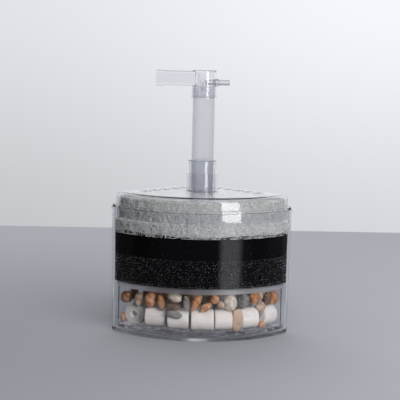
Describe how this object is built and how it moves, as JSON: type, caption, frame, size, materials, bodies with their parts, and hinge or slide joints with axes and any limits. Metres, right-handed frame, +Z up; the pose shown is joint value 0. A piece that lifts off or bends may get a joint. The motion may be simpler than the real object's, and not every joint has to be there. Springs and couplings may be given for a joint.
{
  "type": "air-driven corner aquarium filter",
  "caption": "Clear fan-shaped corner aquarium filter driven by air: layered media cartridge in a curved box, domed lid, riser tube and swivelling outlet.",
  "frame": {"origin": "on the riser tube's axis, in the plane that the box stands on, which is also the middle of the box's footprint", "axes": "+Z up along the riser; -Y is the curved front wall, +Y the right-angled corner; the outlet spout points along -X at rest"},
  "size_m": [0.1308, 0.1012, 0.1895],
  "materials": {
    "clear_shell": "clear, polished, faint violet-grey tint",
    "clear_basket": "clear, slightly hazy",
    "clear_pipe": "clear thin capillary",
    "air_stone": "porous, matt",
    "white_floss": "loose fibrous polyester wadding",
    "fine_sponge": "fine open-cell foam, black",
    "coarse_sponge": "coarse reticulated foam, black, glinting struts",
    "ring_ceramic": "porous sintered, matt white",
    "pebble_brown": "tumbled, satin",
    "pebble_dark": "tumbled, satin",
    "pebble_beige": "tumbled, satin",
    "pebble_orange": "tumbled, satin",
    "pebble_cream": "tumbled, satin",
    "pebble_grey": "tumbled, satin"
  },
  "bodies": {
    "box": {"outer_box": "clear_shell"},
    "cartridge": {"core_pipe": "clear_shell", "base_grid": "clear_basket", "media_basket": "clear_basket", "basket_cover": "clear_basket", "floss_pad": "white_floss", "fine_sponge": "fine_sponge", "coarse_sponge": "coarse_sponge", "ceramic_ring_01": "ring_ceramic", "ceramic_ring_02": "ring_ceramic", "ceramic_ring_03": "ring_ceramic", "ceramic_ring_04": "ring_ceramic", "ceramic_ring_05": "ring_ceramic", "ceramic_ring_06": "ring_ceramic", "ceramic_ring_07": "ring_ceramic", "ceramic_ring_08": "ring_ceramic", "ceramic_ring_09": "ring_ceramic", "ceramic_ring_10": "ring_ceramic", "ceramic_ring_11": "ring_ceramic", "ceramic_ring_12": "ring_ceramic", "ceramic_ring_13": "ring_ceramic", "ceramic_ring_14": "ring_ceramic", "ceramic_ring_15": "ring_ceramic", "pebble_01": "pebble_brown", "pebble_02": "pebble_dark", "pebble_03": "pebble_beige", "pebble_04": "pebble_orange", "pebble_05": "pebble_brown", "pebble_06": "pebble_cream", "pebble_07": "pebble_dark", "pebble_08": "pebble_grey", "pebble_09": "pebble_grey", "pebble_10": "pebble_orange", "pebble_11": "pebble_orange", "pebble_12": "pebble_beige", "pebble_13": "pebble_cream", "pebble_14": "pebble_grey", "pebble_15": "pebble_orange", "pebble_16": "pebble_beige", "pebble_17": "pebble_dark", "pebble_18": "pebble_orange", "pebble_19": "pebble_beige", "pebble_20": "pebble_brown", "pebble_21": "pebble_orange", "pebble_22": "pebble_orange", "pebble_23": "pebble_beige", "pebbles_tan": "pebble_beige", "pebbles_brown": "pebble_brown", "pebbles_grey": "pebble_grey"},
    "lid": {"lid": "clear_shell"},
    "riser": {"lift_tube": "clear_shell"},
    "outlet": {"outlet_elbow": "clear_shell", "air_nipple": "clear_shell", "air_pipe": "clear_pipe", "air_diffuser": "air_stone"}
  },
  "joints": [
    {"name": "cartridge_lift", "type": "slide", "parent": "box", "child": "cartridge", "axis": [0, 0, 1], "range_m": [0, 0.1]},
    {"name": "lid_lift", "type": "slide", "parent": "cartridge", "child": "lid", "axis": [0, 0, 1], "range_m": [0, 0.03]},
    {"name": "riser_slide", "type": "slide", "parent": "cartridge", "child": "riser", "axis": [0, 0, 1], "range_m": [-0.02, 0.01]},
    {"name": "outlet_swivel", "type": "hinge", "parent": "riser", "child": "outlet", "pos_m": [0, 0, 0.175], "axis": [0, 0, 1], "continuous": true}
  ]
}
